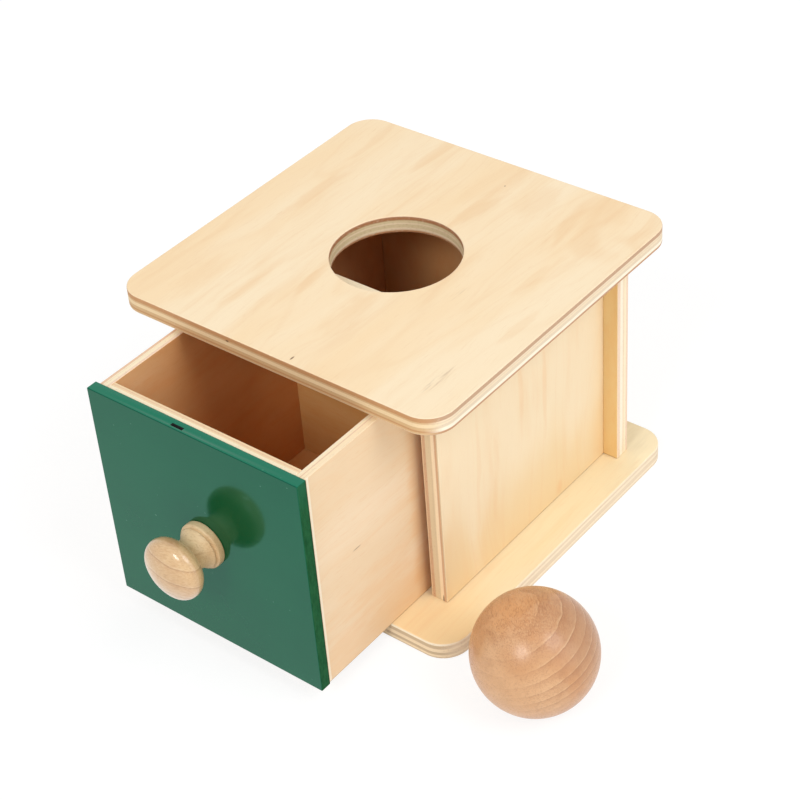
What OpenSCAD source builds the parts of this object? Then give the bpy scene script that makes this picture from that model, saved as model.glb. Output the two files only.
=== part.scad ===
// Object permanence box: a ball drops through the top board into a drawer that a child pulls open.
// Millimetres, +Z up, +X right, +Y to the back. The origin is the centre of the base board's underside.

/* [Boards] */
// Width of the top and base boards, left to right
board_w = 160; // [144:1:190]
// Depth of the top and base boards, front to back
board_d = 160; // [146:1:190]
// Thickness of the top and base boards
board_t = 8; // [7:0.5:12]
// Radius of the boards' four corners
board_corner_r = 12; // [3:0.5:24]
// Room between the ball and the rim of its hole, on the diameter
ball_hole_play = 4; // [1:0.5:10]

/* [Upright panels] */
// Height of the upright panels between the two boards
panel_h = 105.5; // [90:0.5:130]
// Thickness of the upright panels
panel_t = 8; // [7:0.5:12]
// Clear width between the side panels
bay_w = 109; // [90:1:114]
// Depth of the side panels, front to back
side_d = 113; // [90:0.5:124]
// Overhang of the boards in front of the side panels
front_overhang = 22; // [10:0.5:30]
// Width of the back panel
back_w = 139; // [132:1:156]

/* [Dowels] */
// Diameter of the hidden dowels between the panels and the boards
dowel_d = 4; // [3:0.5:5]
// Length of a dowel
dowel_l = 18; // [12:0.5:26]
// Depth that a dowel reaches into its board
dowel_seat = 5; // [3:0.5:6]
// Distance from a panel's end to its dowels
dowel_inset = 20; // [10:1:32]
// Glue room round a dowel, on the radius
dowel_glue = 0.1; // [0.05:0.05:0.3]
// Glue room past each end of a dowel
dowel_end_room = 0.5; // [0.2:0.1:0.5]

/* [Drawer] */
// How far the drawer stands open
drawer_open = 67; // [0:1:100]
// Thickness of the painted drawer front
front_t = 5; // [4:0.5:10]
// Gap beside the painted front, on each side
front_side_gap = 2; // [0.5:0.25:3]
// Gap above the painted front
front_top_gap = 1.5; // [0.5:0.25:3]
// Gap under the painted front
front_foot_gap = 1; // [0:0.25:2]
// Thickness of the drawer's walls
wall_t = 4.5; // [3:0.5:9]
// Gap beside the drawer's walls, on each side
wall_side_gap = 3.25; // [0.5:0.25:5]
// Gap above the drawer's walls
wall_top_gap = 2.5; // [1:0.25:20]
// Gap left behind the drawer when it is shut
wall_rear_gap = 1; // [0.5:0.25:10]
// Thickness of the drawer's bottom
bottom_t = 3; // [2:0.5:8]

/* [Knob] */
// Height of the knob's axis above the ground
knob_z = 59.5; // [40:0.5:90]
// Length of the knob, from the painted front to the tip of its head
knob_l = 24.7; // [23:0.1:40]
// Radius of the collar that sits on the painted front
collar_r = 10.1; // [9:0.1:16]
// Thickness of the collar
collar_t = 3.5; // [2:0.1:4.5]
// Step from the collar's rim in to the shoulder
shoulder_step = 0.4; // [0.2:0.1:1]
// Radius of the neck at its narrowest
neck_r = 6.8; // [5:0.1:8]
// Radius of the hollow curve between shoulder and neck
cove_r = 6.5; // [4:0.1:8]
// Radius of the head
head_r = 13.5; // [11:0.1:20]
// Thickness of the head
head_t = 14.3; // [12:0.1:16]
// Radius of the head's rounded rim
rim_r = 4.8; // [3:0.1:5.4]

/* [Knob screw] */
// Diameter of the screw's shank
screw_d = 3.5; // [2.5:0.5:5]
// Depth that the screw bites into the knob
screw_bite = 12; // [6:1:18]
// Length of the screw's pointed end
screw_tip = 3; // [2:0.5:5]
// Diameter of the screw's head
screw_head_d = 7; // [6:0.5:10]
// Height of the screw's head
screw_head_h = 2.2; // [1.5:0.1:3]
// Room round the shank in the drawer's front, on the radius
screw_room = 0.25; // [0.1:0.05:0.5]
// Depth of the knob's hole past the screw's tip
pilot_room = 1; // [0.5:0.5:3]

/* [Ball] */
// Diameter of the ball
ball_d = 50; // [45:1:60]
// Distance of the ball's centre to the right of the box's middle
ball_x = 117; // [112:1:200]
// Distance of the ball's centre in front of the box's middle
ball_ahead = 74.5; // [0:0.5:150]

/* [Hidden] */
$fn = 96;

// Cuts run this far past the faces that they open
cut = 1;
// Circles that blend into a flatter curve cross it by this much
blend = 0.05;

ball_hole_d = ball_d + ball_hole_play;

bay_front_y = front_overhang - board_d / 2;
bay_back_y = bay_front_y + side_d;
side_x = bay_w / 2 + panel_t / 2;
under_top_z = board_t + panel_h;

dowel_reach = dowel_l - dowel_seat;
side_dowel_ys = [bay_front_y + dowel_inset, bay_back_y - dowel_inset];
back_dowel_x = back_w / 2 - dowel_inset;
dowel_places = [
    for (side = [-1, 1], y = side_dowel_ys) [side * side_x, y],
    for (side = [-1, 1]) [side * back_dowel_x, bay_back_y + panel_t / 2]
];

front_w = bay_w - 2 * front_side_gap;
front_h = panel_h - front_foot_gap - front_top_gap;
front_y = bay_front_y - drawer_open;
wall_y = front_y + front_t;
drawer_w = bay_w - 2 * wall_side_gap;
drawer_d = side_d - front_t - wall_rear_gap;
wall_h = panel_h - wall_top_gap;
inside_w = drawer_w - 2 * wall_t;
inside_d = drawer_d - 2 * wall_t;

shoulder_r = collar_r - shoulder_step;
head_mid = knob_l - head_t / 2;
rim_x = head_r - rim_r;
// The domes on the head's front and back run smoothly into its rim
dome_r = (pow(rim_x, 2) + pow(head_t / 2, 2) - pow(rim_r, 2)) / (head_t - 2 * rim_r);
dome_offset = dome_r - head_t / 2;
rim_blend_x = rim_x * dome_r / (dome_r - rim_r);
// The hollow starts where it has worked in from the collar to the shoulder
cove_x = neck_r + cove_r;
cove_y = collar_t + sqrt(pow(cove_r, 2) - pow(cove_x - shoulder_r, 2)) + shoulder_step;
screw_l = front_t + wall_t + screw_bite;

ply_color = "#f0d9b0";
edge_ply_color = "#e8cfa4";
green_color = "#3f745c";
turned_color = "#e1c39b";
ball_color = "#c8966e";
steel_color = "#b9bcc0";

// Flat board with round corners, centred on the Z axis, lying on z = 0
module round_cornered_board() {
    corner_x = board_w / 2 - board_corner_r;
    corner_y = board_d / 2 - board_corner_r;
    linear_extrude(board_t) {
        square([board_w, 2 * corner_y], center = true);
        square([2 * corner_x, board_d], center = true);
        for (x = [-corner_x, corner_x], y = [-corner_y, corner_y])
            translate([x, y])
                circle(board_corner_r);
    }
}

// One dowel, or the hole for one, standing on z = 0
module dowel_rod(length, room = 0) {
    cylinder(h = length, r = dowel_d / 2 + room);
}

// Holes for every dowel, from z upward
module dowel_holes(z, length) {
    for (place = dowel_places)
        translate([place[0], place[1], z])
            dowel_rod(length, dowel_glue);
}

// Holes for the dowels that stick up out of the base board
module base_dowel_holes() {
    dowel_holes(board_t - dowel_seat - dowel_end_room, dowel_l + 2 * dowel_end_room);
}

// Holes for the dowels that hang down out of the top board
module top_dowel_holes() {
    dowel_holes(under_top_z - dowel_reach - dowel_end_room, dowel_l + 2 * dowel_end_room);
}

// Upright panel with its lower left front corner at [x, y], drilled for its dowels
module upright_panel(x, y, w, d) {
    difference() {
        translate([x, y, board_t])
            cube([w, d, panel_h]);
        base_dowel_holes();
        top_dowel_holes();
    }
}

// Way for the knob's screw through the drawer's front
module screw_way() {
    translate([0, wall_y + wall_t + cut, knob_z])
        rotate([90, 0, 0])
            cylinder(h = front_t + wall_t + 2 * cut, r = screw_d / 2 + screw_room);
}

// Half section of the knob's head: two shallow domes that meet in a round rim
module head_section() {
    translate([0, head_mid]) {
        intersection() {
            translate([0, -dome_offset])
                circle(dome_r, $fn = 192);
            translate([0, dome_offset])
                circle(dome_r, $fn = 192);
            translate([0, -head_t])
                square([rim_blend_x, 2 * head_t]);
        }
        translate([rim_x, 0])
            circle(rim_r + blend);
    }
}

// Half section of the collar, the hollow and the neck that runs into the head
module stem_section() {
    square([collar_r, collar_t]);
    difference() {
        square([shoulder_r, head_mid]);
        translate([cove_x, cove_y])
            circle(cove_r);
        translate([neck_r, cove_y])
            square([shoulder_r, head_mid]);
    }
}

module base_board() {
    color(ply_color)
        difference() {
            round_cornered_board();
            base_dowel_holes();
        }
}

module top_board() {
    color(ply_color)
        difference() {
            translate([0, 0, under_top_z])
                round_cornered_board();
            translate([0, 0, under_top_z - cut])
                cylinder(h = board_t + 2 * cut, d = ball_hole_d);
            top_dowel_holes();
        }
}

module left_side() {
    color(edge_ply_color)
        upright_panel(-bay_w / 2 - panel_t, bay_front_y, panel_t, side_d);
}

module right_side() {
    color(edge_ply_color)
        upright_panel(bay_w / 2, bay_front_y, panel_t, side_d);
}

module back_panel() {
    color(ply_color)
        upright_panel(-back_w / 2, bay_back_y, back_w, panel_t);
}

module base_dowels() {
    color(turned_color)
        for (place = dowel_places)
            translate([place[0], place[1], board_t - dowel_seat])
                dowel_rod(dowel_l);
}

module top_dowels() {
    color(turned_color)
        for (place = dowel_places)
            translate([place[0], place[1], under_top_z - dowel_reach])
                dowel_rod(dowel_l);
}

module drawer_front() {
    color(green_color)
        difference() {
            translate([-front_w / 2, front_y, board_t + front_foot_gap])
                cube([front_w, front_t, front_h]);
            screw_way();
        }
}

module drawer_inner_front() {
    color(ply_color)
        difference() {
            translate([-inside_w / 2, wall_y, board_t])
                cube([inside_w, wall_t, wall_h]);
            screw_way();
        }
}

module drawer_left() {
    color(edge_ply_color)
        translate([-drawer_w / 2, wall_y, board_t])
            cube([wall_t, drawer_d, wall_h]);
}

module drawer_right() {
    color(edge_ply_color)
        translate([drawer_w / 2 - wall_t, wall_y, board_t])
            cube([wall_t, drawer_d, wall_h]);
}

module drawer_back() {
    color(ply_color)
        translate([-inside_w / 2, wall_y + drawer_d - wall_t, board_t])
            cube([inside_w, wall_t, wall_h]);
}

module drawer_bottom() {
    color(ply_color)
        translate([-inside_w / 2, wall_y + wall_t, board_t])
            cube([inside_w, inside_d, bottom_t]);
}

module knob() {
    color(turned_color)
        translate([0, front_y, knob_z])
            rotate([90, 0, 0])
                difference() {
                    rotate_extrude() {
                        stem_section();
                        head_section();
                    }
                    translate([0, 0, -cut])
                        cylinder(h = cut + screw_bite + pilot_room, d = screw_d);
                }
}

module knob_screw() {
    shank = screw_l - screw_tip;
    color(steel_color)
        translate([0, wall_y + wall_t, knob_z])
            rotate([90, 0, 0]) {
                cylinder(h = shank, d = screw_d);
                translate([0, 0, shank])
                    cylinder(h = screw_tip, d1 = screw_d, d2 = 0);
                mirror([0, 0, 1])
                    cylinder(h = screw_head_h, d1 = screw_head_d, d2 = screw_d);
            }
}

module ball() {
    color(ball_color)
        translate([ball_x, -ball_ahead, ball_d / 2])
            sphere(d = ball_d);
}

base_board();
top_board();
left_side();
right_side();
back_panel();
base_dowels();
top_dowels();
drawer_front();
drawer_inner_front();
drawer_left();
drawer_right();
drawer_back();
drawer_bottom();
knob();
knob_screw();
ball();
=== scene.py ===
import math

import bmesh
import bpy
from mathutils import Matrix, Vector


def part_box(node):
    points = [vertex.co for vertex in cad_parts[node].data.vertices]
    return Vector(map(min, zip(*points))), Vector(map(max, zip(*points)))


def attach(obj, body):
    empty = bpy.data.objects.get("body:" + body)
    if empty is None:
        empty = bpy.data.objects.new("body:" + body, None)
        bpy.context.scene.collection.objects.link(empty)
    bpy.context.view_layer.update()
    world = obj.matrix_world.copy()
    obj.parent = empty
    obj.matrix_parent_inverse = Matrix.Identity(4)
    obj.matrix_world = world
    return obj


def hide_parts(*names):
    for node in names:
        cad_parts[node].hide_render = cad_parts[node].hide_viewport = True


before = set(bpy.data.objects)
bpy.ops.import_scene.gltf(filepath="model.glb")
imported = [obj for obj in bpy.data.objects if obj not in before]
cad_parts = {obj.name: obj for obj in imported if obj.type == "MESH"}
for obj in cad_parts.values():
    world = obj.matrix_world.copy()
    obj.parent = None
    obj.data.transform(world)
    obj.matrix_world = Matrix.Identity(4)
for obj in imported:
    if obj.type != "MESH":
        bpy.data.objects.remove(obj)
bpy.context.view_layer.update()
scene = bpy.context.scene
mm = 0.001
print("frame loaded:", len(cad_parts), "nodes")


def tone(red, green, blue):  # a screen colour from 0 to 255, as the linear colour that shaders take
    def linear(level):
        share = level / 255
        return share / 12.92 if share <= 0.04045 else ((share + 0.055) / 1.055) ** 2.4

    return (linear(red), linear(green), linear(blue), 1)


class Value:  # a socket that Python sums can use
    def __init__(self, shade, socket):
        self.shade = shade
        self.socket = socket

    def math(self, operation, other=0.0, swapped=False):
        pair = (other, self) if swapped else (self, other)
        return self.shade.node("ShaderNodeMath", {"operation": operation}, {0: pair[0], 1: pair[1]})

    def __add__(self, other):
        return self.math("ADD", other)

    def __radd__(self, other):
        return self.math("ADD", other, True)

    def __sub__(self, other):
        return self.math("SUBTRACT", other)

    def __rsub__(self, other):
        return self.math("SUBTRACT", other, True)

    def __mul__(self, other):
        return self.math("MULTIPLY", other)

    def __rmul__(self, other):
        return self.math("MULTIPLY", other, True)

    def __truediv__(self, other):
        return self.math("DIVIDE", other)

    def __rtruediv__(self, other):
        return self.math("DIVIDE", other, True)

    def __pow__(self, other):
        return self.math("POWER", other)

    def __abs__(self):
        return self.math("ABSOLUTE")

    def rise(self, low, high):  # 0 below low, 1 above high and smooth between
        return self.shade.node("ShaderNodeMapRange", {"interpolation_type": "SMOOTHSTEP"},
                               {0: self, 1: low, 2: high})

    def atLeast(self, least):  # what ran from 0 to 1 runs from least to 1
        return self * (1 - least) + least

    def waves(self):  # up and down between 0 and 0.5, once for each whole number
        return self.math("PINGPONG", 0.5)


def ellipse(*terms):  # 0 in the middle and 1 at its edge; a term is a place, its middle and its reach
    return sum(((place - middle) / reach) ** 2 for place, middle, reach in terms)


class Shade:  # a material, or the world, while its nodes are being made
    def __init__(self, owner):
        self.owner = owner
        owner.use_nodes = True
        self.tree = owner.node_tree
        self.tree.nodes.clear()

    def node(self, kind, settings=None, sockets=None, out=0):
        made = self.tree.nodes.new(kind)
        for key, value in (settings or {}).items():
            if key == "stops":
                self.setStops(made.color_ramp.elements, value)
            else:
                setattr(made, key, value)
        for key, value in (sockets or {}).items():
            if isinstance(value, Value):
                self.tree.links.new(value.socket, made.inputs[key])
            else:
                made.inputs[key].default_value = value
        if isinstance(out, tuple):
            return [Value(self, made.outputs[each]) for each in out]
        return Value(self, made.outputs[out]) if made.outputs else made

    def setStops(self, elements, stops):
        while len(elements) < len(stops):
            elements.new(1)
        for element, (place, colour) in zip(elements, stops):
            element.position = place
            element.color = colour

    def axes(self, vector):
        return self.node("ShaderNodeSeparateXYZ", None, {0: vector}, out=(0, 1, 2))

    def millimetres(self):  # the piece's own coordinates
        spot = self.node("ShaderNodeTexCoord", out="Object")
        spread = self.node("ShaderNodeVectorMath", {"operation": "SCALE"}, {0: spot, "Scale": 1 / mm})
        return self.axes(spread)

    def facing(self):  # the share of the normal along each axis
        return self.axes(self.node("ShaderNodeNewGeometry", out="Normal"))

    def noise(self, places, grain, shift=(0, 0, 0)):
        rates, detail, roughness = grain  # the rates are changes per millimetre, one for each place
        spots = [place * rate + move for place, rate, move in zip(places, rates, shift)]
        spot = self.node("ShaderNodeCombineXYZ", None, dict(enumerate(spots)))
        return self.node("ShaderNodeTexNoise", None,
                         {"Vector": spot, "Scale": 1, "Detail": detail, "Roughness": roughness})

    def mix(self, share, first, second, blend="MIX"):
        return self.node("ShaderNodeMix", {"data_type": "RGBA", "blend_type": blend},
                         {0: share, 6: first, 7: second}, out=2)

    def bump(self, height, strength, depth=0.1 * mm):
        return self.node("ShaderNodeBump", None,
                         {"Strength": strength, "Distance": depth, "Height": height})

    def surface(self, sockets):
        shader = self.node("ShaderNodeBsdfPrincipled", None, sockets)
        self.node("ShaderNodeOutputMaterial", None, {"Surface": shader})
        return self.owner


def newMaterial(name):
    return Shade(bpy.data.materials.new(name))


# Plywood: soft veneer on the faces, and the stacked plies where a board was sawn
veneer = {
    "streak": tone(238, 194, 142), "streakShare": 0.33,
    "fibre": tone(232, 190, 142), "fibreShare": 0.22,
    # painted light, to lighten a shaded place
    "bleach": tone(255, 238, 200),
    "smudge": tone(150, 118, 96),
    "knot": tone(92, 54, 28),
    "inside": (0.94, 0.66, 0.42, 1), "shadeMottleShare": 0.25,  # painted shade: the inner side of a panel, in the box's shade, is darker and warmer
    "bands": 0.11,  # streaks in a millimetre
    "bend": 14,  # millimetres that the grain wanders
    "layerRate": 0.4,  # tells the two faces apart
    "contours": 11, "contourShare": 0.2,
    "shadeFadeShare": 0.44,
    "raggedness": 2.2,  # of the edges of marks
    "highlightEndReach": (0.3, 0.8), "highlightEndShare": 0.8,
    "seamShadeReach": (0.15, 0.4), "seamShadeShare": 0.55,
    "faceTurn": (0.45, 0.85),  # how far a normal has to turn for an eased edge to become the face
    "roughness": 0.45, "uneven": 0.15, "shine": 0.3, "bump": 0.12, "tickDeep": 0.7,
}
veneerGrain = {  # rates along, across and by layers, detail, roughness and the pattern's own layer
    "drift": ((0.012, 0.03, 1), 2, 0.5, 0),
    "cloud": ((0.006, 0.035, 1), 3, 0.55, 2),
    "streak": ((0.012, 1, 1), 3, 0.6, 5),
    "figure": ((0.004, 0.03, 1), 1, 0.5, 7),
    "fibre": ((0.1, 1.5, 1), 3, 0.6, 9),
    "tick": ((0.16, 2.2, 1), 1, 0.5, 11),
    "ragged": ((0.05, 0.22, 1), 3, 0.6, 13),
    "mottle": ((0.06, 0.12, 1), 4, 0.65, 17),
}
veneerShown = {  # a pattern comes up between these two levels of its noise
    "cloud": (0.32, 0.68), "streak": (0.5, 0.78), "contour": (0.36, 0.5), "fibre": (0.5, 0.85),
    "tick": (0.68, 0.78), "smudge": (0.42, 0.7), "mottle": (0.4, 0.75),
}
curl = {  # a swirl in the veneer
    "grain": ((0.035, 0.02, 1), 2, 0.5), "swing": 4, "slant": 0.5, "bands": 0.06,
    "shown": (0.1, 0.5), "plain": 0.2, "share": 0.4,
}
sawn = {
    "wander": 0.05,  # of the plies, as a share of the board
    "endTurn": (0.4, 0.95),
    "lineShown": (0.5, 0.8), "lineShare": 0.3,
    "poreShown": (0.6, 0.72), "poreShare": 0.2,
    "roughReach": (0.06, 0.14), "roughShare": 0.75,  # more pores in a rough ply
    "tornShown": (0.6, 0.75), "tornShare": 0.3,
    "featherDark": (0.3, 0.44), "featherPale": (0.52, 0.7), "featherShare": 0.5,
    "markLong": 3, "markDeep": 0.5, "markShown": (0.1, 1),
    "arrisHighlightUp": (-0.4, -0.1), "arrisHighlightShare": 1.6,
    "roughness": 0.6,
}
sawnGrain = {  # rates along, across and through the board, detail and roughness
    "wander": ((0.04, 0.04, 0), 2, 0.5),
    "line": ((0.025, 0.025, 2.4), 3, 0.65),
    "pore": ((1.5, 1.5, 1.9), 2, 0.5),
    "torn": ((0.7, 0.7, 1.3), 3, 0.7),
    "feather": ((0.5, 1.1, 1.2), 4, 0.75),
}
plyTones = {
    "white": tone(254, 243, 219), "butter": tone(254, 237, 204), "ivory": tone(253, 230, 193),
    "linen": tone(233, 213, 184), "wheat": tone(246, 218, 174), "honey": tone(221, 184, 136),
    "umber": tone(205, 153, 105), "cream": tone(246, 225, 192), "shell": tone(246, 229, 201),
    "flax": tone(222, 202, 167), "clay": tone(199, 163, 132), "blush": tone(245, 217, 190),
    "sand": tone(231, 210, 165), "tan": tone(231, 201, 163), "pink": tone(236, 199, 167),
    "brown": tone(197, 150, 115), "rose": tone(211, 171, 137), "rust": tone(186, 128, 88),
    "grey": tone(208, 184, 150), "olive": tone(188, 154, 112), "glue": tone(120, 80, 48),
}
plyBlend = 0.02  # share of the board over which one ply runs into the next


def plyStops(plies):  # from the low face to the high one
    whole = sum(share for _, share in plies)
    stops = []
    start = 0
    for colour, share in plies:
        end = start + share / whole
        stops.append((start + plyBlend, plyTones[colour]))
        stops.append((end - plyBlend, plyTones[colour]))
        start = end
    return stops


def plyAxes(shade, look):  # places in millimetres, and how far the surface faces each way
    place = dict(zip("xyz", shade.millimetres()))
    facing = dict(zip("xyz", shade.facing()))
    axes = {"height": place["z"], "up": facing["z"],
            "along": place.pop(look["grain"]), "depth": place.pop(look["through"]),
            "endOn": facing[look["grain"]], "faceOn": facing[look["through"]]}
    axes["across"] = list(place.values())[0]
    return axes


def veneerPatterns(shade, axes, look):  # clouds and streaks along the grain, with fine fibres
    across = axes["across"]
    layer = axes["depth"] * veneer["layerRate"] + look["seed"]

    def pattern(kind, line):
        *grain, step = veneerGrain[kind]
        return shade.noise((axes["along"], line, layer), grain, (0, 0, step))

    bent = across + (pattern("drift", across) - 0.5) * veneer["bend"]
    figure = pattern("figure", bent) * veneer["contours"]
    cloud = pattern("cloud", bent)
    if "shadeFade" in look:  # painted shade: the veneer pales from one place along the grain to another, warmer towards the shaded end
        shadeFade = axes["along"].rise(*look["shadeFade"])
        cloud = cloud + veneer["shadeFadeShare"] / 2 - shadeFade * veneer["shadeFadeShare"]
    patterns = {
        "bent": bent,
        "cloud": cloud,
        "streak": pattern("streak", bent * look.get("bands", veneer["bands"])),
        "contour": figure.waves().rise(*veneerShown["contour"]),
        "fibre": pattern("fibre", bent),
        "tick": pattern("tick", bent).rise(*veneerShown["tick"]),
        "ragged": pattern("ragged", across) - 0.5,
    }
    if "inside" in look:
        patterns["mottle"] = pattern("mottle", across).rise(*veneerShown["mottle"])
    return patterns


def veneerFace(shade, axes, patterns, look):
    cloud, streak, fibre = (patterns[kind] for kind in ("cloud", "streak", "fibre"))
    fibreShare = look.get("fibres", veneer["fibreShare"])
    face = shade.mix(cloud.rise(*veneerShown["cloud"]), look["pale"], look["warm"])
    for share, colour in ((streak.rise(*veneerShown["streak"]) * veneer["streakShare"], "streak"),
                          (patterns["contour"] * cloud * veneer["contourShare"], "streak"),
                          (fibre.rise(*veneerShown["fibre"]) * fibreShare, "fibre"),
                          (patterns["tick"] * fibreShare, "fibre")):
        face = shade.mix(share, face, veneer[colour])
    face = veneerMarks(shade, axes, patterns, look, face)
    if "curl" in look:
        face = curledVeneer(shade, axes, streak, look, face)
    if "inside" in look:
        face = shadedInsideVeneer(shade, axes, patterns["mottle"], look, face)
    # a pale band at one end of the grain: painted highlight along the wall's front end
    if "highlightEnd" in look:
        away = abs(axes["along"] - look["highlightEnd"]).rise(*veneer["highlightEndReach"])
        face = shade.mix((1 - away) * veneer["highlightEndShare"], face, plyTones["white"])
    near, far = veneer["seamShadeReach"]
    for height in look.get("seams", []):  # darker where a piece meets a board: glue, with painted shade in the crevice
        away = abs(axes["height"] - height).rise(near, look["ease"] / mm + far)
        face = shade.mix((1 - away) * veneer["seamShadeShare"], face, plyTones["glue"])
    return face


def veneerMarks(shade, axes, patterns, look, face):
    for colour, marks in look.get("marks", {}).items():
        line = patterns["bent"] if colour == "streak" else axes["across"]
        for markAlong, markAcross, length, width, strength in marks:
            reach = ellipse((axes["along"], markAlong, length), (line, markAcross, width))
            if colour != "knot":
                reach = reach + patterns["ragged"] * veneer["raggedness"]
            mark = (1 - reach.rise(0, 1)) * strength
            if colour == "smudge":
                mark = mark * patterns["fibre"].rise(*veneerShown["smudge"])
            face = shade.mix(mark, face, veneer[colour])
    return face


def curledVeneer(shade, axes, streak, look, face):
    along, across = axes["along"], axes["across"]
    curlAlong, curlAcross, radius = look["curl"]
    reach = ellipse((along, curlAlong, radius), (across, curlAcross, radius))
    swirl = shade.noise((across, along, look["seed"]), curl["grain"]) * curl["swing"]
    swirl = swirl + (across + along * curl["slant"]) * curl["bands"]
    bands = swirl.waves().rise(*curl["shown"]) * (streak + curl["plain"])
    return shade.mix((1 - reach.rise(0, 1)) * bands * curl["share"], face, veneer["streak"])


def shadedInsideVeneer(shade, axes, mottle, look, face):
    # painted shade on the inner side, in the box's shade
    inner = (axes["faceOn"] * look["inside"]).rise(*veneer["faceTurn"])
    insideShadeTone = look.get("insideShadeTone", veneer["inside"])
    if "deepShadeTone" in look:  # painted shade: the inner veneer darkens along the grain, deeper into the drawer
        insideShadeTone = shade.mix(axes["along"].rise(*look["deepShading"]), insideShadeTone, look["deepShadeTone"])
    if "margin" in look:  # past this the inner side shows outside the box, with a lighter, warmer painted shade tone
        outer = abs(axes["across"]).rise(*look["margin"])
        insideShadeTone = shade.mix(outer, insideShadeTone, look["marginShadeTone"])
    face = shade.mix(inner, face, insideShadeTone, "MULTIPLY")
    # blotchy painted shade on the inner side
    return shade.mix(inner * mottle * veneer["shadeMottleShare"], face, veneer["inside"], "MULTIPLY")


def sawnEdge(shade, axes, look, box):  # its colour, and its height for the bump
    along, across, depth = (axes[way] for way in ("along", "across", "depth"))
    low, high = (corner["xyz".index(look["through"])] / mm for corner in box)

    def pattern(kind, seed=0):
        return shade.noise((along, across, depth), sawnGrain[kind], (0, 0, seed))

    level = (depth - low) / (high - low) + (pattern("wander", look["seed"]) - 0.5) * sawn["wander"]

    def stack(plies):
        return shade.node("ShaderNodeValToRGB", {"stops": plyStops(plies)}, {0: level})

    # plies cut across their grain are darker
    endOn = abs(axes["endOn"]).rise(*sawn["endTurn"])
    edge = shade.mix(endOn, stack(look["plies"]), stack(look["endPlies"]))
    if "rimPlies" in look:
        nearHole = 1 - (along ** 2 + across ** 2).rise(*look["rimZone"])
        edge = shade.mix(nearHole, edge, stack(look["rimPlies"]))
    lines = pattern("line", look["seed"])
    edge = shade.mix(lines.rise(*sawn["lineShown"]) * sawn["lineShare"], edge, plyTones["olive"])
    pore = pattern("pore").rise(*sawn["poreShown"])
    poreShare = sawn["poreShare"]
    if "roughPly" in look:  # one ply torn by the saw
        away = abs(level - look["roughPly"]).rise(*sawn["roughReach"])
        poreShare = poreShare + sawn["roughShare"] * (1 - away)
    edge = shade.mix(pore * poreShare, edge, plyTones["glue"])
    torn = pattern("torn", look["seed"]).rise(*sawn["tornShown"])
    edge = shade.mix(torn * sawn["tornShare"], edge, plyTones["white"])
    if "rimPlies" in look:
        feather = pattern("feather")
        paleShare = nearHole * feather.rise(*sawn["featherPale"]) * sawn["featherShare"]
        darkShare = nearHole * (1 - feather.rise(*sawn["featherDark"])) * sawn["featherShare"]
        edge = shade.mix(paleShare, edge, plyTones["cream"])
        edge = shade.mix(darkShare, edge, plyTones["rust"])
    for markAlong, markAcross, markDepth, length, strength in look.get("edgeMarks", []):
        reach = ellipse((along, markAlong, sawn["markLong"]), (across, markAcross, length),
                        (depth, markDepth, sawn["markDeep"]))
        edge = shade.mix((1 - reach.rise(*sawn["markShown"])) * strength, edge, veneer["knot"])
    return edge, lines + torn - pore


def plywood(name, look, box):
    shade = newMaterial(name)
    axes = plyAxes(shade, look)
    patterns = veneerPatterns(shade, axes, look)
    face = veneerFace(shade, axes, patterns, look)
    edge, edgeHeight = sawnEdge(shade, axes, look, box)
    onFace = abs(axes["faceOn"]).rise(*veneer["faceTurn"])
    # painted highlight: eased edges that face up are paler, those that face down are not
    arris = onFace * (1 - onFace) * (patterns["fibre"] + 0.5) * axes["up"].rise(*sawn["arrisHighlightUp"])
    colour = shade.mix(arris * sawn["arrisHighlightShare"], shade.mix(onFace, edge, face), plyTones["white"])
    roughness = sawn["roughness"] - onFace * (sawn["roughness"] - veneer["roughness"])
    faceHeight = patterns["fibre"] - patterns["tick"] * veneer["tickDeep"]
    height = onFace * faceHeight + (1 - onFace) * edgeHeight
    return shade.surface({"Base Color": colour,
                          "Roughness": roughness + (patterns["streak"] - 0.5) * veneer["uneven"],
                          "Specular IOR Level": veneer["shine"],
                          "Normal": shade.bump(height, veneer["bump"])})


# Turned wood: growth rings cut as flat layers, with a fine fleck
turnedGrain = {  # rate, detail, roughness and the axis that the seed shifts
    "warp": (0.05, 2, 0.5, "x"),
    "wobble": (0.3, 2, 0.5, "x"),
    "cloud": (0.07, 3, 0.6, "y"),
    "blotch": (0.22, 3, 0.6, "x"),
    "broken": (0.13, 3, 0.6, "z"),
    "fibre": (1, 4, 0.65, "x"),
    "fleck": (2.8, 2, 0.6, "y"),
}
turnedShown = {  # a pattern comes up between these two levels
    "cloud": (0.32, 0.68), "blotch": (0.45, 0.75), "broken": (0.35, 0.62), "fibre": (0.45, 0.8),
    "fleckDark": (0.5, 0.68), "fleckPale": (0.34, 0.48), "line": (0.88, 0.98), "pale": (0.03, 0.16),
}
turned = {
    "fineRate": 0.85, "grainPull": 0.7,  # fibres change slowly along the grain
    "ringLeast": 0.15, "endLeast": 0.2, "fleckLeast": 0.3,
    "zoneBlur": 14,  # millimetres
    "fleckRough": 0.25, "fibreRough": 0.1, "fleckDeep": 0.8,
}


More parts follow.
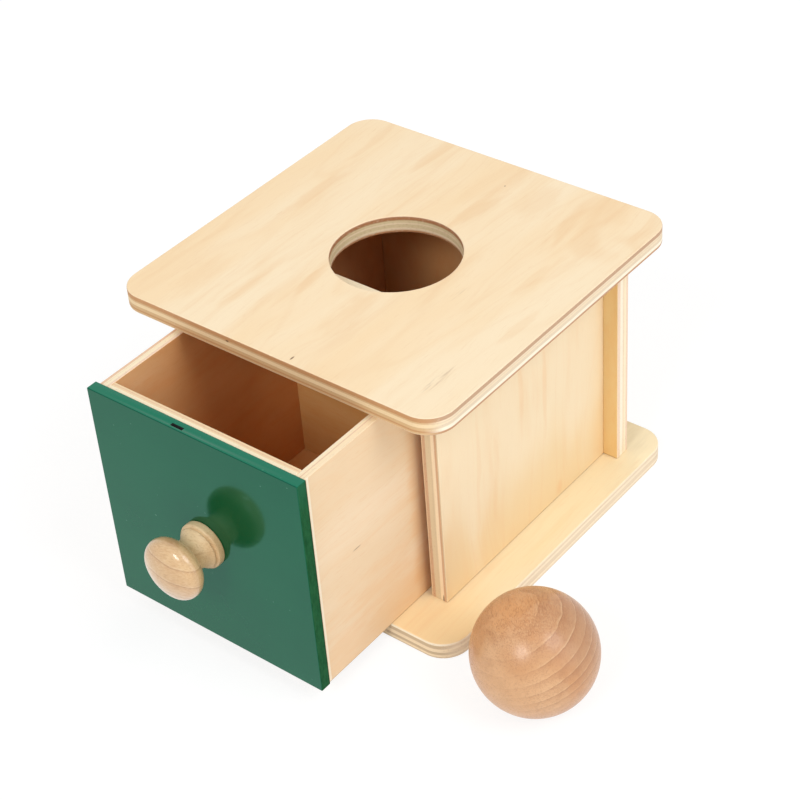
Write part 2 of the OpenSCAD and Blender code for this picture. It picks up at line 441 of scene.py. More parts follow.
def turnedWood(name, look):
    shade = newMaterial(name)
    places = shade.millimetres()
    x, y, z = places

    def measure(way):
        a, b, c = Vector(way).normalized()
        return x * a + y * b + z * c

    def pattern(kind, spots=places):
        rate, detail, roughness, way = turnedGrain[kind]
        shift = [look["seed"] if axis == way else 0 for axis in "xyz"]
        return shade.noise(spots, ((rate, rate, rate), detail, roughness), shift)

    # growth rings
    warp, wobble = (pattern(kind) - 0.5 for kind in ("warp", "wobble"))
    stack = measure(look["ringWay"]) - look["ringStart"]
    stack = stack + warp * look["ringWarp"] + wobble * look["ringWobble"]
    phase = (stack / look["ringSpacing"] + stack ** 2 * look["ringBend"]).math("FRACT")
    strength = measure(look["fadeWay"]).rise(*look["fade"]).atLeast(turned["ringLeast"])
    if "ringEnd" in look:
        strength = strength * stack.rise(*look["ringEnd"]).atLeast(turned["endLeast"])
    unbroken = pattern("broken").rise(*turnedShown["broken"]).atLeast(1 - look["breaks"])
    # fibres and flecks
    grain = measure(look["grainWay"])
    grainWay = Vector(look["grainWay"]).normalized()
    sweep = [place * turned["fineRate"] - grain * (turned["grainPull"] * part)
             for place, part in zip(places, grainWay)]
    fibre = pattern("fibre", sweep)
    fleck = pattern("fleck", sweep)
    cloud = pattern("cloud")
    blotch = pattern("blotch").rise(*turnedShown["blotch"])

    def closeness(spot, near, far):
        spot = Vector(spot) + look.get("middle", Vector())
        away = ((x - spot.x) ** 2 + (y - spot.y) ** 2 + (z - spot.z) ** 2) ** 0.5
        return 1 - (away + (cloud - 0.5) * turned["zoneBlur"]).rise(near, far)

    fleckShare = look["fleckShare"]
    if "fleckSpots" in look:  # the fleck shows most where the surface runs along the rings
        first, second = (closeness(*spot) for spot in look["fleckSpots"])
        fleckShare = fleckShare * first.math("MAXIMUM", second).atLeast(turned["fleckLeast"])
    colour = shade.mix(cloud.rise(*turnedShown["cloud"]), look["early"], look["warm"])
    colour = shade.mix(blotch * look["blotchShare"], colour, look["late"])
    for spot, near, far, zoneTone, share in look["zones"]:  # wide patches of other wood
        colour = shade.mix(closeness(spot, near, far) * share, colour, zoneTone)
    line = phase.rise(*turnedShown["line"]) * strength * unbroken
    pale = (1 - phase.rise(*turnedShown["pale"])) * strength * unbroken
    for share, wood in ((phase ** 2 * strength * look["lateShare"], "late"),
                        (line * look["lineShare"], "line"),
                        (pale * look["paleShare"], "pale"),
                        (fibre.rise(*turnedShown["fibre"]) * look["fibreShare"], "late"),
                        (fleck.rise(*turnedShown["fleckDark"]) * fleckShare, "line"),
                        ((1 - fleck.rise(*turnedShown["fleckPale"])) * fleckShare, "pale")):
        colour = shade.mix(share, colour, look[wood])
    roughness = look["roughness"] + (fleck - 0.5) * turned["fleckRough"]
    roughness = roughness + (fibre - 0.5) * turned["fibreRough"]
    sockets = {"Base Color": colour, "Roughness": roughness, "Specular IOR Level": look["shine"],
               "Normal": shade.bump(fibre - fleck * turned["fleckDeep"], look["bump"])}
    if "coat" in look:  # lacquer lies thick on the rounded part only
        sockets["Coat Weight"] = measure(look["coatWay"]).rise(*look["coat"]) * look["coatShare"]
        sockets["Coat Roughness"] = look["coatRoughness"]
        sockets["Coat IOR"] = look["coatIOR"]
    return shade.surface(sockets)


# Meshes
flatShare = 0.99  # of the normal along one axis, on a flat face
levelSlack = 0.1 * mm
mergeSlack = 1e-6
cutSlack = 1e-7


def pieceName(node):  # drawer_left becomes drawerLeft
    first, *others = node.split("_")
    return first + "".join(word.capitalize() for word in others)


def middleOf(box):
    return Vector([(low + high) / 2 for low, high in zip(*box)])


def boxMesh(low, high):
    bm = bmesh.new()
    place = Matrix.Translation((low + high) / 2) @ Matrix.Diagonal((*(high - low), 1))
    bmesh.ops.create_cube(bm, size=1, matrix=place)
    return bm


def bevelEdges(bm, edges, offset, steps):
    bmesh.ops.bevel(bm, geom=edges, offset=offset, offset_type="OFFSET", affect="EDGES",
                    segments=steps, profile=0.5, material=-1, clamp_overlap=True)


def sharpEdges(bm, angle=60):
    return [edge for edge in bm.edges if edge.calc_face_angle(0) > math.radians(angle)]


def sinkFaces(bm, faces, move):  # pushes faces in, and returns the corners of the new floor
    pushed = bmesh.ops.extrude_face_region(bm, geom=faces)["geom"]
    corners = [part for part in pushed if isinstance(part, bmesh.types.BMVert)]
    bmesh.ops.delete(bm, geom=faces, context="FACES")
    bmesh.ops.translate(bm, verts=corners, vec=move)
    return corners


def addPiece(bm, node, materials, body):
    for face in bm.faces:
        face.smooth = True
    name = pieceName(node)
    mesh = bpy.data.meshes.new(name)
    bm.to_mesh(mesh)
    bm.free()
    piece = bpy.data.objects.new(name, mesh)
    scene.collection.objects.link(piece)
    for material in materials:
        mesh.materials.append(material)
    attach(piece, body)
    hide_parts(node)
    return piece


def flattenFaces(piece):  # flat faces stay flat right up to their eased edges
    weighting = piece.modifiers.new("flatFaces", "WEIGHTED_NORMAL")
    weighting.mode = "FACE_AREA"
    weighting.weight = 100
    weighting.keep_sharp = False


def easedPanel(node, look, body):
    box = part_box(node)
    bm = boxMesh(*box)
    bevelEdges(bm, bm.edges[:], look["ease"], look["easeSteps"])
    flattenFaces(addPiece(bm, node, [plywood(pieceName(node) + "Ply", look, box)], body))


# Base and top boards
boards = {
    "cornerRadius": 12 * mm,
    "cornerSteps": 23,
    "ease": 0.55 * mm,
    "easeSteps": 3,
}
baseLook = {
    "name": "basePly", "through": "z", "grain": "y", "seed": 11.3,
    # the paling is painted shade, warmer towards the front
    "pale": tone(241, 225, 188), "warm": tone(246, 220, 173), "shadeFade": (-80, -35),
    "plies": [("linen", 18), ("shell", 12), ("linen", 28), ("shell", 16), ("linen", 14), ("shell", 12)],
    "endPlies": [("grey", 11), ("cream", 14), ("grey", 17), ("cream", 22), ("grey", 22), ("white", 13)],
    # painted light on the base's corner behind the back panel
    "marks": {"bleach": [(82, 80, 28, 25, 0.9)]},  # place and reach, each along and across, and strength
}
topLook = {
    "name": "topPly", "through": "z", "grain": "y", "seed": 3.7,
    "pale": tone(254, 233, 198), "warm": tone(252, 224, 182),
    "plies": [("brown", 16), ("white", 19), ("linen", 18), ("cream", 8), ("linen", 7), ("cream", 8),
              ("clay", 24)],
    "endPlies": [("tan", 8), ("honey", 9), ("umber", 9), ("honey", 18), ("wheat", 21), ("honey", 9),
                 ("umber", 26)],
    "marks": {
        "streak": [(18, -58, 40, 3.5, 0.34), (44, 9, 26, 4.5, 0.36), (70, -33, 24, 3, 0.26),
                   (68, -63, 24, 3, 0.24), (-34, -15.5, 14, 2.4, 0.3), (-42, 10, 20, 7, 0.26),
                   (14, 56, 16, 2.4, 0.2), (-14, 71.5, 16, 2.4, 0.2), (60, 27, 16, 11, 0.22),
                   (-54, -55, 22, 8, 0.2), (-52, -33.6, 18, 3.5, 0.2)],
        "smudge": [(-58, 65, 12, 2.6, 0.3), (-9, 38.5, 7, 1.8, 0.16)],
        "knot": [(-76.7, 10.4, 1.6, 0.5, 0.85), (64, 7.7, 0.5, 0.4, 0.75)],
    },
    "curl": (56, 60, 27),  # along, across and radius
    "holeRadius": 27 * mm,
    # the rim's plies are darker and warmer than the board's edges: the rim's own plies with painted
    # shade
    "rimPlies": [("rust", 14), ("tan", 6), ("cream", 11), ("sand", 20), ("cream", 9), ("sand", 14),
                 ("olive", 4), ("rust", 14), ("brown", 8)],
    "rimZone": (900, 1000),  # the hole's own edge, by the square of the distance from its middle
    "edgeMarks": [(-80, -19.8, 119.3, 1, 0.8)],  # along, across, depth, reach across and strength
}


def roundedBoard(box):
    bm = boxMesh(*box)
    upright = [edge for edge in bm.edges if abs(edge.verts[0].co.z - edge.verts[1].co.z) > mm]
    bevelEdges(bm, upright, boards["cornerRadius"], boards["cornerSteps"])
    return bm


def cutRoundHole(bm, box, radius):
    count = 4 * (boards["cornerSteps"] + 1)  # as many corners as the board's own outline
    middle = middleOf(box)
    turn = Matrix.Rotation(math.pi / count, 4, "Z")
    rims = []
    for level in (box[0].z, box[1].z):
        lids = [face for face in bm.faces if abs(face.normal.z) > flatShare
                and abs(face.calc_center_median().z - level) < levelSlack]
        outline = list(lids[0].edges)
        bmesh.ops.delete(bm, geom=lids, context="FACES_ONLY")
        spot = Matrix.Translation((middle.x, middle.y, level)) @ turn
        ring = bmesh.ops.create_circle(bm, cap_ends=False, radius=radius, segments=count, matrix=spot)
        rim = list({edge for vert in ring["verts"] for edge in vert.link_edges})
        rims.append(rim)
        bmesh.ops.bridge_loops(bm, edges=outline + rim)
    bmesh.ops.bridge_loops(bm, edges=rims[0] + rims[1])
    bmesh.ops.recalc_face_normals(bm, faces=bm.faces[:])


for node, look in (("base_board", baseLook), ("top_board", topLook)):
    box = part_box(node)
    boardMesh = roundedBoard(box)
    if "holeRadius" in look:
        cutRoundHole(boardMesh, box, look["holeRadius"])
    bevelEdges(boardMesh, sharpEdges(boardMesh), boards["ease"], boards["easeSteps"])
    flattenFaces(addPiece(boardMesh, node, [plywood(look["name"], look, box)], "case"))
print("boards made")

# Upright panels
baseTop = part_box("base_board")[1].z / mm
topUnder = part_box("top_board")[0].z / mm
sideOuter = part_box("right_side")[1].x / mm
panelLook = {
    "grain": "z", "ease": 0.4 * mm, "easeSteps": 3, "seams": [baseTop, topUnder],
    "pale": tone(246, 225, 189), "warm": tone(241, 213, 167),
    # painted shade on the panels' inner sides
    "insideShadeTone": (0.84, 0.5, 0.33, 1),
    "bands": 0.06, "fibres": 0.15,
}
# plies from inside the box outwards
sidePlies = [("tan", 9), ("rose", 16), ("flax", 34), ("cream", 20), ("rose", 13), ("flax", 8)]
sideEnds = [("cream", 8), ("tan", 20), ("cream", 20), ("white", 22), ("brown", 12), ("cream", 18)]
panels = {
    # the paling on the sides is painted shade, warmer towards the bottom
    "left_side": {
        "through": "x", "seed": 21.9, "inside": 1, "roughPly": 0.85, "shadeFade": (10, 70),
        "plies": sidePlies[::-1], "endPlies": sideEnds[::-1],
    },
    "right_side": {
        "through": "x", "seed": 35.2, "inside": -1, "roughPly": 0.15, "shadeFade": (10, 70),
        "plies": sidePlies, "endPlies": sideEnds,
        "marks": {"streak": [(88, -4.7, 34, 1.8, 0.3), (74, 10, 30, 1.8, 0.3), (60, -34, 40, 1.6, 0.2),
                             (52, -22, 30, 2.4, 0.18), (13, 21.5, 5, 2.5, 0.5)]},
        "edgeMarks": [(9, -58, 60.6, 1, 0.7)],
    },
    "back_panel": {
        # painted shade on the inner side, lighter and warmer where it shows past the sides
        "through": "y", "seed": 47.1, "inside": -1, "insideShadeTone": (0.75, 0.5, 0.34, 1),
        "margin": (sideOuter - 0.5, sideOuter), "marginShadeTone": (0.97, 0.875, 0.63, 1),
        "plies": [("blush", 26), ("white", 24), ("cream", 12), ("butter", 18), ("blush", 20)],
        "endPlies": sideEnds,
    },
}
for node, look in panels.items():
    easedPanel(node, {**panelLook, **look}, "case")
print("panels made")

# Drawer box
wallLook = {
    "ease": 0.35 * mm, "easeSteps": 3, "seams": [baseTop],
    "pale": tone(244, 221, 189), "warm": tone(238, 210, 172),
    "fibres": 0.5,
    "plies": [("butter", 30), ("ivory", 12), ("pink", 8), ("ivory", 50)],
}
# every inner side gets painted shade through its inside tone
drawerWalls = {  # plies from inside the drawer outwards
    "drawer_inner_front": {
        "through": "y", "grain": "x", "seed": 52.6, "inside": 1,
        "plies": [("wheat", 22), ("pink", 12), ("wheat", 14), ("butter", 52)],
    },
    "drawer_left": {
        "through": "x", "grain": "y", "seed": 61.4, "inside": 1, "highlightEnd": -118.2,
        # painted shade, deepening towards the drawer's back
        "insideShadeTone": (0.98, 0.77, 0.56, 1), "deepShadeTone": (0.9, 0.6, 0.36, 1), "deepShading": (-108, -74),
        "plies": [("blush", 25), ("butter", 45), ("pink", 30)],
    },
    "drawer_right": {
        "through": "x", "grain": "y", "seed": 74.8, "inside": -1, "highlightEnd": -118.2,
        "marks": {"knot": [(-95.9, 60.7, 3, 0.4, 0.5)],
                  # the streak at -57 is painted warm shade beside the side panel's front edge
                  "streak": [(-90, 5, 60, 45, 0.45), (-57, 60, 8, 120, 0.55)]},
    },
    "drawer_back": {
        # painted shade on the inner side
        "through": "y", "grain": "x", "seed": 83.5, "inside": -1, "insideShadeTone": (1, 0.8, 0.46, 1),
        "plies": [("butter", 1)],
    },
    "drawer_bottom": {
        # painted shade on the inner side
        "through": "z", "grain": "y", "seed": 95.7, "inside": 1, "insideShadeTone": (0.97, 0.71, 0.42, 1),
    },
}
for node, wall in drawerWalls.items():
    look = {**wallLook, **wall}
    look["plies"] = look["plies"][::-look["inside"]]  # now from the low face to the high one
    look["endPlies"] = look["plies"]
    easedPanel(node, look, "drawer")
print("drawer box made")

# Painted drawer front with a void of the core open in its top edge
paint = {
    "colour": tone(13, 78, 43),
    "patch": tone(11, 73, 39),
    # painted light: faces that face up take the paler crown
    "crown": tone(36, 106, 77),
    "edge": tone(30, 92, 54),
    "dust": tone(110, 150, 130), "dustShare": 0.35,
    "scratchSlant": (0.25, 0.3),  # changes per millimetre along X and Z
    "nickSlant": (0.5, 0.9), "nickCross": (-0.25, 0.9), "nickShare": 0.3,  # along X and Y
    "thin": tone(8, 48, 28), "thinShare": 0.9,
    # painted shade: the void's walls are near black
    "void": tone(3, 6, 4), "voidRoughness": 0.9,
    "splinter": tone(24, 22, 14), "splinterShare": 0.5,
    "roughness": 0.09, "brushRough": 0.05, "thinRough": 0.5,
    "gloss": 0.42, "glossTint": (0, 1.5, 1.2, 1),
    "bump": 0.04, "peelDeep": 0.7, "brushDeep": 0.05,
    "endRoughness": 0.7, "endGloss": 0.1, "endBump": 0.1,
    "endLitTop": (96, 111), "endLitTopShare": 0.5,  # painted light: the ends pale upwards
    "endShade": (-121, -120.2), "endShadeShare": 0.8,  # painted shade: they darken towards the drawer
    "ease": 0.3 * mm, "easeSteps": 2,
    "slotLeft": -10 * mm, "slotRight": -4.1 * mm,  # along X
    "slotBehind": 1.05 * mm, "slotWide": 1.5 * mm, "slotDeep": 7 * mm,
}
paintGrain = {  # rates, detail and roughness
    "patch": ((0.03, 0.03, 0.03), 3, 0.5),
    "brushed": ((0.9, 0.9, 0.05), 3, 0.5),
    "dust": ((0.6, 0.6, 0.6), 0, 0.5),
    "scratch": ((1, 2.5, 2.5), 1, 0.5),
    "nick": ((1, 1, 1), 2, 0.7),
    "peel": ((0.35, 0.35, 0.35), 2, 0.5),
    "soaked": ((0.2, 0.9, 0.3), 4, 0.65),
    "splinter": ((0.4, 2, 2), 3, 0.5),
}
paintShown = {  # a pattern comes up between these two levels
    "patch": (0.3, 0.7), "dust": (0.83, 0.87), "scratch": (0.8, 0.86), "nick": (0.66, 0.74),
    "soaked": (0.35, 0.7), "splinter": (0.5, 0.8), "onTop": (0.6, 0.95), "arris": (0.2, 0.45),
}


def greenPaint():
    shade = newMaterial("greenPaint")
    places = shade.millimetres()
    x, y, z = places
    _, outY, outZ = shade.facing()
    patch, brushed, dust, peel = (shade.noise(places, paintGrain[kind])
                                  for kind in ("patch", "brushed", "dust", "peel"))
    dust = dust.rise(*paintShown["dust"])

    def slanted(other, rates):
        return x * rates[0] + other * rates[1]

    scratch = shade.noise((slanted(z, paint["scratchSlant"]), y, z), paintGrain["scratch"])
    nickSpot = (slanted(y, paint["nickSlant"]), slanted(y, paint["nickCross"]), z)
    nick = shade.noise(nickSpot, paintGrain["nick"])
    onTop = outZ.rise(*paintShown["onTop"])
    arris = (outY * outZ * -1).rise(*paintShown["arris"])
    specks = (dust + scratch.rise(*paintShown["scratch"])) * paint["dustShare"]
    specks = specks + nick.rise(*paintShown["nick"]) * onTop * paint["nickShare"]
    colour = shade.mix(patch.rise(*paintShown["patch"]), paint["colour"], paint["patch"])
    # painted light on the faces that face up
    colour = shade.mix(onTop, colour, paint["crown"])
    colour = shade.mix(specks, colour, paint["dust"])
    colour = shade.mix(arris * paint["thinShare"], colour, paint["thin"])
    roughness = paint["roughness"] + (brushed - 0.5) * paint["brushRough"] + arris * paint["thinRough"]
    height = peel * paint["peelDeep"] + brushed * paint["brushDeep"] + dust
    return shade.surface({"Base Color": colour, "Roughness": roughness,
                          "Specular IOR Level": paint["gloss"], "Specular Tint": paint["glossTint"],
                          "Normal": shade.bump(height, paint["bump"])})


def edgePaint():  # soaked into the sawn ends, so it has little gloss
    shade = newMaterial("edgePaint")
    x, y, z = shade.millimetres()
    soaked = shade.noise((x, y, z), paintGrain["soaked"])
    colour = shade.mix(soaked.rise(*paintShown["soaked"]), paint["edge"], paint["patch"])
    # painted light: paler upwards
    colour = shade.mix(z.rise(*paint["endLitTop"]) * paint["endLitTopShare"], colour, paint["crown"])
    # painted shade: darker towards the drawer
    colour = shade.mix(y.rise(*paint["endShade"]) * paint["endShadeShare"], colour, paint["thin"])
    return shade.surface({"Base Color": colour, "Roughness": paint["endRoughness"],
                          "Specular IOR Level": paint["endGloss"],
                          "Normal": shade.bump(soaked, paint["endBump"])})


def coreVoidShade():
    # the void's walls are painted near black: painted shade
    shade = newMaterial("coreVoidShade")
    splinter = shade.noise(shade.millimetres(), paintGrain["splinter"]).rise(*paintShown["splinter"])
    colour = shade.mix(splinter * paint["splinterShare"], paint["void"], paint["splinter"])
    return shade.surface({"Base Color": colour, "Roughness": paint["voidRoughness"]})


def openVoid(bm, box):  # scores the top edge round the void, and sinks what lies inside
    slotFront = box[0].y + paint["slotBehind"]
    slotBack = slotFront + paint["slotWide"]
    for spot, way in (((paint["slotLeft"], 0, 0), (1, 0, 0)), ((paint["slotRight"], 0, 0), (1, 0, 0)),
                      ((0, slotFront, 0), (0, 1, 0)), ((0, slotBack, 0), (0, 1, 0))):
        roof = [face for face in bm.faces if face.normal.z > flatShare]
        parts = list({part for face in roof for part in (*face.verts, *face.edges, face)})
        bmesh.ops.bisect_plane(bm, geom=parts, plane_co=spot, plane_no=way, dist=cutSlack)
    slotMiddle = Vector(((paint["slotLeft"] + paint["slotRight"]) / 2, (slotFront + slotBack) / 2,
                         box[1].z))
    mouth = min((face for face in bm.faces if face.normal.z > flatShare),
                key=lambda face: (face.calc_center_median() - slotMiddle).length)
    return sinkFaces(bm, [mouth], (0, 0, -paint["slotDeep"]))


frontMaterials = [greenPaint(), coreVoidShade(), edgePaint()]
endShare = 0.9  # of the normal along X, so that the ends' eased edges count too
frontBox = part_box("drawer_front")
frontMesh = boxMesh(*frontBox)
bevelEdges(frontMesh, frontMesh.edges[:], paint["ease"], paint["easeSteps"])
voidFloor = openVoid(frontMesh, frontBox)
for face in {face for vert in voidFloor for face in vert.link_faces}:
    face.material_index = 1
for face in frontMesh.faces:
    if abs(face.normal.x) > endShare and face.material_index == 0:
        face.material_index = 2
bmesh.ops.recalc_face_normals(frontMesh, faces=frontMesh.faces[:])
flattenFaces(addPiece(frontMesh, "drawer_front", frontMaterials, "drawer"))
print("painted front made")

# Knob: turned about the drawer's pull axis
knobShape = {
    "collarRadius": 10.1, "collarThick": 3.5, "collarRound": 1.1, "collarTurn": 80, "footRound": 0.5,
    "grooveDeep": 0.7, "grooveWide": 0.45, "shoulderRadius": 9.1, "shoulderRise": 0.65,
    "neckRadius": 6.8, "coveRadius": 6.5,
    "headThick": 14.3, "rimRadius": 4.8,
    "footSteps": 5, "collarSteps": 8, "coveSteps": 16, "backSteps": 16, "rimSteps": 24, "domeSteps": 28,
    "steps": 128,  # round the axis
}
knobWood = {
    "ringWay": (0.08, 0.2, 1), "ringStart": 51.3, "ringSpacing": 7.2, "ringBend": 0.0, "ringWarp": 3.6,
    "ringWobble": 0.3, "fadeWay": (0, -1, 0), "fade": (131, 138), "breaks": 0.2,
    "grainWay": (1, 0.2, 0), "seed": 5.3,
    "early": tone(223, 188, 140), "warm": tone(213, 172, 123), "late": tone(199, 154, 107),
    "line": tone(164, 114, 76), "pale": tone(234, 208, 170),
    # other wood round a place: whole within the first reach and gone past the second
    "zones": [((9, -146, 50), 3, 13, tone(224, 190, 158), 0.6),
              # the second zone is painted light on the collar's top
              ((-2, -127, 69), 3, 13, tone(242, 216, 172), 0.7)],
    "lateShare": 0.3, "lineShare": 0.5, "paleShare": 0.2, "blotchShare": 0.4, "fibreShare": 0.35,
    "fleckShare": 0.25, "roughness": 0.4, "shine": 0.3, "bump": 0.12,
    "coatWay": (0, -1, 0), "coat": (135, 138), "coatShare": 1, "coatRoughness": 0.09, "coatIOR": 1.5,
}


def arc(centre, radius, start, end, steps):  # points on an arc, angles in degrees
    angles = [math.radians(start + (end - start) * step / steps) for step in range(steps + 1)]
    return [(centre[0] + radius * math.cos(angle), centre[1] + radius * math.sin(angle))
            for angle in angles]


def knobOutline(shape, length, headRadius):  # radius and distance from the painted front
    collar, thick, edge = shape["collarRadius"], shape["collarThick"], shape["collarRound"]
    foot = shape["footRound"]
    points = [(0, 0), (collar - foot, 0)]
    points += arc((collar - foot, foot), foot, -90, 0, shape["footSteps"])
    points += arc((collar - edge, thick - edge), edge, 0, shape["collarTurn"], shape["collarSteps"])
    groove = shape["shoulderRadius"] - shape["grooveDeep"]
    points += [(groove, thick), (groove, thick + shape["grooveWide"])]
    cove = shape["coveRadius"]
    coveMid = shape["neckRadius"] + cove
    flare = math.acos((coveMid - shape["shoulderRadius"]) / cove)
    coveAt = thick + shape["shoulderRise"] + cove * math.sin(flare)
    points += arc((coveMid, coveAt), cove, 180 + math.degrees(flare), 180, shape["coveSteps"])
    half, rim = shape["headThick"] / 2, shape["rimRadius"]
    middle = length - half
    rimMid = headRadius - rim
    dome = (rimMid ** 2 + half ** 2 - rim ** 2) / (2 * half - 2 * rim)
    meet = math.degrees(math.atan2(dome - half, rimMid))  # where a dome runs into the rim
    back = math.degrees(math.acos(shape["neckRadius"] / dome))
    points += arc((0, middle - half + dome), dome, -back, -meet, shape["backSteps"])
    points += arc((rimMid, middle), rim, -meet, meet, shape["rimSteps"])[1:]
    points += arc((0, middle + half - dome), dome, meet, 90, shape["domeSteps"])[1:]
    return points


def turnedMesh(outline, origin, steps):  # the outline turned about a line along -Y
    bm = bmesh.new()
    verts = [bm.verts.new((radius * mm, -out * mm, 0)) for radius, out in outline]
    edges = [bm.edges.new(pair) for pair in zip(verts, verts[1:])]
    bmesh.ops.spin(bm, geom=verts + edges, cent=(0, 0, 0), axis=(0, 1, 0), angle=math.tau,
                   steps=steps, use_merge=True)
    bmesh.ops.remove_doubles(bm, verts=bm.verts[:], dist=mergeSlack)
    bmesh.ops.recalc_face_normals(bm, faces=bm.faces[:])
    bmesh.ops.translate(bm, verts=bm.verts[:], vec=origin)
    return bm


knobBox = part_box("knob")
knobMiddle = middleOf(knobBox)
knobFoot = Vector((knobMiddle.x, knobBox[1].y, knobMiddle.z))
knobLength = (knobBox[1].y - knobBox[0].y) / mm
knobHead = (knobBox[1].z - knobBox[0].z) / 2 / mm
knobMesh = turnedMesh(knobOutline(knobShape, knobLength, knobHead), knobFoot, knobShape["steps"])
addPiece(knobMesh, "knob", [turnedWood("knobWood", knobWood)], "drawer")
print("knob made")

# Screw: round head with a cross recess, seen inside the drawer
screwShape = {
    "headRadius": 3.5, "headHigh": 2.2, "rimHigh": 0.5, "rimSteps": 4, "shankRadius": 1.75, "tipLong": 3,
    "crown": [(0.5, 0.12), (0.3, 0.03)],  # share of the head's radius, and depth below its top
    "crossWide": 0.9 * mm, "crossLong": 3.6 * mm, "crossDeep": 1.2 * mm, "crossZone": 0.6 * mm,
    "steps": 64,  # round the axis
}
screwSteel = {
    "bright": tone(196, 197, 196), "dull": tone(176, 178, 180), "roughness": 0.28, "uneven": 0.15,
    "platedGrain": ((0.9, 0.9, 0.9), 4, 0.5), "platedShown": (0.3, 0.7),
    "lathedGrain": ((0.4, 7, 0.4), 2, 0.5),
    "bump": 0.1, "bumpDeep": 0.05 * mm,
}


def steel(look):
    shade = newMaterial("screwSteel")
    places = shade.millimetres()
    plated = shade.noise(places, look["platedGrain"])
    lathed = shade.noise(places, look["lathedGrain"])
    colour = shade.mix(plated.rise(*look["platedShown"]), look["bright"], look["dull"])
    return shade.surface({"Base Color": colour, "Metallic": 1.0,
                          "Roughness": look["roughness"] + lathed * look["uneven"],
                          "Normal": shade.bump(lathed + plated, look["bump"], look["bumpDeep"])})


def screwOutline(shape, length):  # radius and distance from the top of the head, from the tip up
    head, shank, rim = shape["headRadius"], shape["shankRadius"], shape["rimHigh"]
    points = [(0, length), (shank, length - shape["tipLong"])]
    points += [(shank, shape["headHigh"]), (head, shape["headHigh"])]
    points += arc((head - rim, rim * 2), rim, 0, -45, shape["rimSteps"])
    points += [(head * share, down) for share, down in shape["crown"]]
    points.append((0, 0))
    return points


def cutCross(bm, top, shape):
    half, reach = shape["crossWide"] / 2, shape["crossLong"] / 2
    for way in (Vector((1, 0, 0)), Vector((0, 0, 1))):
        for side in (-half, half):
            bmesh.ops.bisect_plane(bm, geom=bm.verts[:] + bm.edges[:] + bm.faces[:],
                                   plane_co=top + way * side, plane_no=way, dist=cutSlack)
    cross = []
    for face in bm.faces:
        spot = face.calc_center_median() - top
        narrow, wide = sorted((abs(spot.x), abs(spot.z)))
        if spot.y > -shape["crossZone"] and narrow < half and wide < reach:
            cross.append(face)
    sinkFaces(bm, cross, (0, -shape["crossDeep"], 0))
    bmesh.ops.recalc_face_normals(bm, faces=bm.faces[:])


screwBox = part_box("knob_screw")
screwTop = Vector((knobFoot.x, screwBox[1].y, knobFoot.z))
screwLength = (screwBox[1].y - screwBox[0].y) / mm
screwMesh = turnedMesh(screwOutline(screwShape, screwLength), screwTop, screwShape["steps"])
cutCross(screwMesh, screwTop, screwShape)
flattenFaces(addPiece(screwMesh, "knob_screw", [steel(screwSteel)], "drawer"))
print("screw made")

# Ball
ballWood = {
    "ringWay": (-0.266, -0.2355, 0.935), "ringSpacing": 3.92, "ringBend": -0.0016, "ringWarp": 1.0,
    "ringWobble": 0.8, "fadeWay": (0.787, 0.614, -0.063), "fade": (34, 56), "breaks": 0.8,
    "ringEnd": (-9, -1), "ringShift": 0.07,  # the shift is a share of the spacing
    "grainWay": (0.6, -0.75, 0.22), "seed": 8.1,
    "early": tone(213, 164, 121), "warm": tone(205, 149, 102), "late": tone(172, 118, 79),
    "line": tone(138, 88, 55), "pale": tone(234, 199, 158),
    "zones": [((-5.7, -5.8, 23.9), 3, 14, tone(231, 171, 117), 0.5),
              ((19.2, 7, 14.5), 6, 25, tone(176, 129, 94), 0.5),
              ((6.1, -24.4, 0.8), 8, 28, tone(231, 186, 140), 0.5),
              ((7, -19.4, 13.8), 1, 10, tone(197, 138, 88), 0.6)],
    "lateShare": 0.62, "lineShare": 0.25, "paleShare": 0.37, "blotchShare": 0.4, "fibreShare": 0.45,
    "fleckShare": 0.34, "fleckSpots": [((-2, -7, 23.5), 6, 26), ((12, -13, 2), 3, 17)],
    "roughness": 0.3, "shine": 0.5, "bump": 0.25,
    "divisions": 6,
}
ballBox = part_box("ball")
ballMiddle = middleOf(ballBox)
ballRadius = (ballBox[1].z - ballBox[0].z) / 2
ringMiddle = ballMiddle.dot(Vector(ballWood["ringWay"]).normalized()) / mm
ballWood["ringStart"] = ringMiddle - ballWood["ringShift"] * ballWood["ringSpacing"]
ballWood["middle"] = ballMiddle / mm
ballMesh = bmesh.new()
bmesh.ops.create_icosphere(ballMesh, subdivisions=ballWood["divisions"], radius=ballRadius,
                           matrix=Matrix.Translation(ballMiddle))
addPiece(ballMesh, "ball", [turnedWood("ballWood", ballWood)], "ball")
print("ball made")

# Dowels stay as the frame has them, inside the boards
dowelWood = dict(knobWood, grainWay=(0, 0, 1), seed=14.2, ringWay=(1, 0.3, 0), ringSpacing=2.4,
                 roughness=0.6, zones=[])
del dowelWood["coat"]
dowelMaterial = turnedWood("dowelWood", dowelWood)
for node in ("base_dowels", "top_dowels"):
    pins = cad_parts[node]
    pins.data.materials.clear()
    pins.data.materials.append(dowelMaterial)
print("dowels dressed")

# Floor, light and camera
stage = {
    "floorSize": 12, "floorShine": 0.8, "white": (1, 1, 1, 1),
    "floorTone": (0.95, 0.95, 0.95, 1), "shadowTone": (0.25, 0.25, 0.25, 1),
    "worldLevel": 0.55, "lampFar": 3.2, "lampTarget": (0.02, -0.03, 0.05),
}
lamps = {
    "key": {"way": (0.65, 0.0, 0.76), "level": 0.3, "size": 1.7},
    "fill": {"way": (0.11, -0.76, 0.65), "level": 0.3, "size": 1.1},
    "side": {"way": (0.93, 0.15, 0.3), "level": 0.13, "size": 2.6},
}


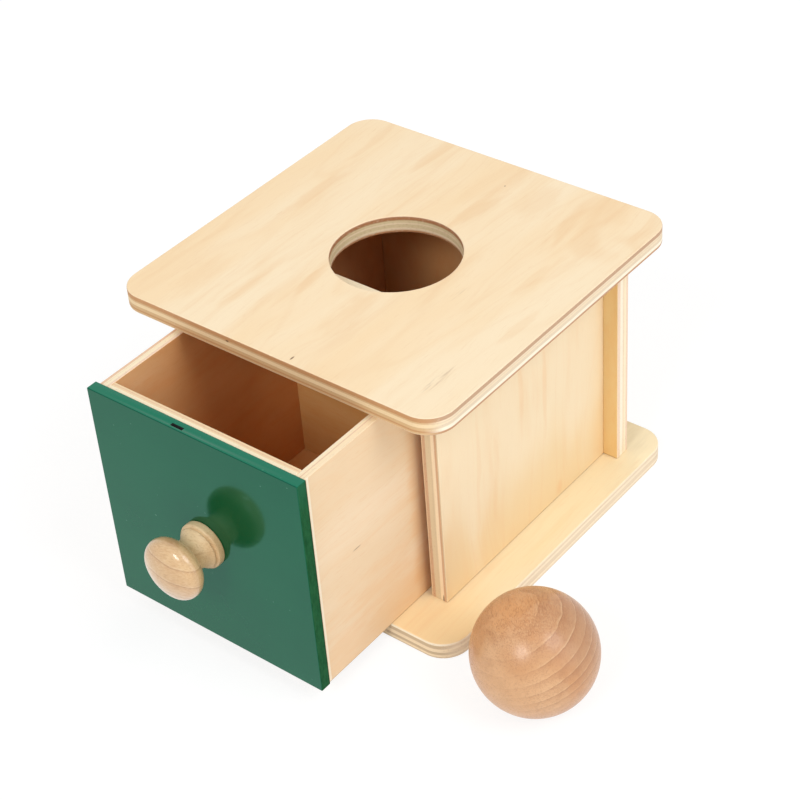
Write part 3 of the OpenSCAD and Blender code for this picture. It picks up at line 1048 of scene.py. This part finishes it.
def seenDirectly(shade):  # camera, mirror and glass rays see the white background itself
    camera, mirror, glass = shade.node("ShaderNodeLightPath", out=("Is Camera Ray", "Is Glossy Ray",
                                                                  "Is Transmission Ray"))
    return camera.math("MAXIMUM", mirror).math("MAXIMUM", glass)


def floorMaterial():
    shade = newMaterial("floorWhite")
    shine = shade.node("ShaderNodeEmission", None,
                       {"Color": stage["white"], "Strength": stage["floorShine"]})
    shadow = shade.node("ShaderNodeBsdfDiffuse", None, {"Color": stage["shadowTone"]})
    shown = shade.node("ShaderNodeAddShader", None, {0: shine, 1: shadow})
    bounce = shade.node("ShaderNodeBsdfDiffuse", None, {"Color": stage["floorTone"]})
    whole = shade.node("ShaderNodeMixShader", None, {0: seenDirectly(shade), 1: bounce, 2: shown})
    shade.node("ShaderNodeOutputMaterial", None, {"Surface": whole})
    return shade.owner


floorMesh = bmesh.new()
bmesh.ops.create_grid(floorMesh, x_segments=1, y_segments=1, size=stage["floorSize"] / 2)
floorData = bpy.data.meshes.new("floor")
floorMesh.to_mesh(floorData)
floorMesh.free()
floorData.materials.append(floorMaterial())
floor = bpy.data.objects.new("floor", floorData)
scene.collection.objects.link(floor)

world = bpy.data.worlds.new("studio")
scene.world = world
sky = Shade(world)
skyLevel = seenDirectly(sky).atLeast(stage["worldLevel"])
background = sky.node("ShaderNodeBackground", None, {"Color": stage["white"], "Strength": skyLevel})
sky.node("ShaderNodeOutputWorld", None, {"Surface": background})

for name, look in lamps.items():
    way = Vector(look["way"]).normalized()
    lamp = bpy.data.lights.new(name, "AREA")
    lamp.shape = "DISK"
    lamp.size = look["size"]
    lamp.energy = look["level"] * (math.pi * stage["lampFar"]) ** 2  # level 1 shows a colour as written
    holder = bpy.data.objects.new(name, lamp)
    holder.location = Vector(stage["lampTarget"]) + way * stage["lampFar"]
    holder.rotation_euler = way.to_track_quat("Z", "Y").to_euler()
    scene.collection.objects.link(holder)

cameraLook = {  # angles in degrees, lengths in metres
    "azimuth": 40.793, "elevation": 37.909, "roll": -4.602,
    "focalPixels": 2016.4, "imagePixels": 800, "sensorWide": 36,  # the sensor in millimetres
    "target": (0, 0, 0.056), "distance": 0.84726, "right": 0.0026, "up": 0.00733,
}


def addCamera(look):
    azimuth, elevation, roll = (math.radians(look[key]) for key in ("azimuth", "elevation", "roll"))
    back = Vector((math.sin(azimuth) * math.cos(elevation), -math.cos(azimuth) * math.cos(elevation),
                   math.sin(elevation)))
    level = Vector((math.cos(azimuth), math.sin(azimuth), 0))
    rise = back.cross(level)
    right = level * math.cos(roll) + rise * math.sin(roll)
    up = rise * math.cos(roll) - level * math.sin(roll)
    data = bpy.data.cameras.new("camera")
    data.sensor_width = look["sensorWide"]
    data.lens = data.sensor_width * look["focalPixels"] / look["imagePixels"]
    camera = bpy.data.objects.new("camera", data)
    spot = Vector(look["target"]) + back * look["distance"] - right * look["right"] - up * look["up"]
    camera.matrix_world = Matrix.Translation(spot) @ Matrix((right, up, back)).transposed().to_4x4()
    scene.collection.objects.link(camera)
    scene.camera = camera


addCamera(cameraLook)
scene.view_settings.view_transform = "Standard"
print("stage made")
